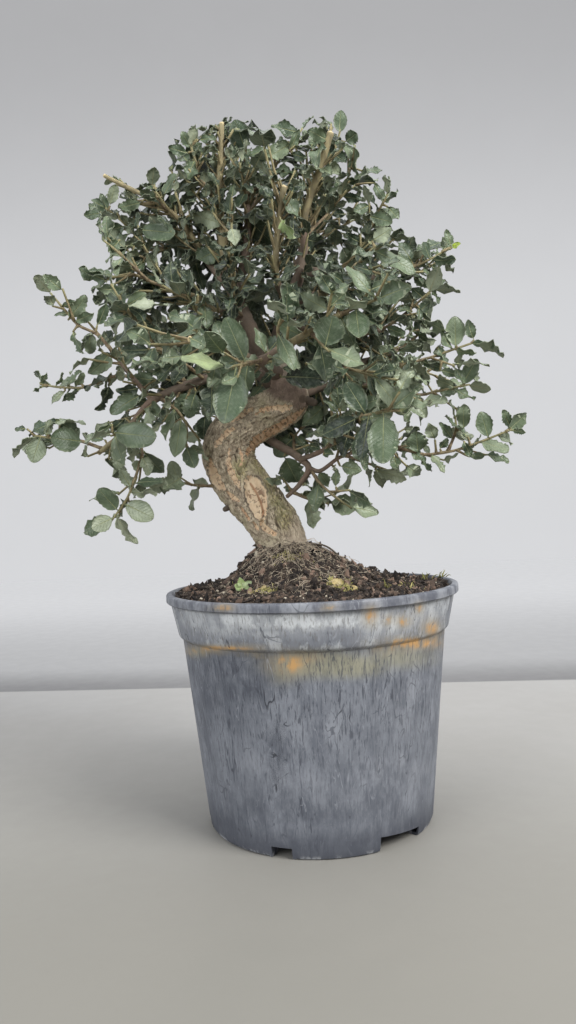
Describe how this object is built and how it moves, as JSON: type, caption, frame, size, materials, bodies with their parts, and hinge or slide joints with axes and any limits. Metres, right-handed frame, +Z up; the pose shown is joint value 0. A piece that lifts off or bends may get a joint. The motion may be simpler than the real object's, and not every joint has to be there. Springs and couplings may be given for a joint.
{
  "type": "cork oak bonsai in a nursery pot",
  "caption": "Small cork oak trained as a bonsai, with a bent corky trunk, open leafy crown and mounded soil, in a round plastic nursery pot.",
  "frame": {"origin": "middle of the pot's flat underside, on the ground", "axes": "+Z up; +X to the right and +Y away from the viewer, seen from the front as in the picture"},
  "size_m": [0.3872, 0.2824, 0.5571],
  "materials": {
    "pot_plastic": "weathered blue-grey plastic with pale and rusty water stains",
    "potting_soil": "dark fibrous potting soil, matte",
    "cork_bark": "rough fissured cork bark, matte",
    "leafy_shoots": "leathery dark green leaves with paler undersides on tan twigs"
  },
  "bodies": {
    "root": {"pot": "pot_plastic", "soil": "potting_soil", "trunk": "cork_bark", "spray_left_far": "leafy_shoots", "spray_left_hang": "leafy_shoots", "spray_left_oval": "leafy_shoots", "spray_left_low": "leafy_shoots", "spray_left_up": "leafy_shoots", "spray_left_thin": "leafy_shoots", "spray_left_front": "leafy_shoots", "spray_left_inner": "leafy_shoots", "spray_left_mid": "leafy_shoots", "spray_left_rise": "leafy_shoots", "spray_left_top": "leafy_shoots", "spray_left_bud": "leafy_shoots", "spray_top_left": "leafy_shoots", "spray_top_middle": "leafy_shoots", "spray_top_far": "leafy_shoots", "spray_top_high": "leafy_shoots", "spray_top_back": "leafy_shoots", "spray_centre_front": "leafy_shoots", "spray_centre_low": "leafy_shoots", "spray_front_left": "leafy_shoots", "spray_front_mid": "leafy_shoots", "spray_front_tip": "leafy_shoots", "spray_front_drop": "leafy_shoots", "spray_right_peak": "leafy_shoots", "spray_right_front_out": "leafy_shoots", "spray_right_bud": "leafy_shoots", "spray_right_pair": "leafy_shoots", "spray_right_rise": "leafy_shoots", "spray_right_long": "leafy_shoots", "spray_right_flat": "leafy_shoots", "spray_right_far": "leafy_shoots", "spray_right_under": "leafy_shoots", "spray_right_drop": "leafy_shoots", "spray_right_hook": "leafy_shoots", "spray_low_front_end": "leafy_shoots", "spray_low_up": "leafy_shoots", "spray_right_cross": "leafy_shoots", "spray_right_mid_front": "leafy_shoots", "spray_trunk_shoot": "leafy_shoots", "spray_back_crest": "leafy_shoots", "spray_back_west": "leafy_shoots", "spray_back_east": "leafy_shoots", "spray_back_mid": "leafy_shoots", "spray_back_left_end": "leafy_shoots", "spray_back_left_out": "leafy_shoots", "spray_back_left_down": "leafy_shoots", "spray_back_left_up": "leafy_shoots", "spray_back_right_end": "leafy_shoots", "spray_back_right_down": "leafy_shoots", "spray_back_right_out": "leafy_shoots", "spray_back_right_up": "leafy_shoots", "spray_back_top_end": "leafy_shoots", "spray_back_top_east": "leafy_shoots", "spray_back_top_west": "leafy_shoots", "spray_back_low_end": "leafy_shoots", "spray_back_low_left": "leafy_shoots", "spray_back_shelf": "leafy_shoots"}
  },
  "joints": []
}
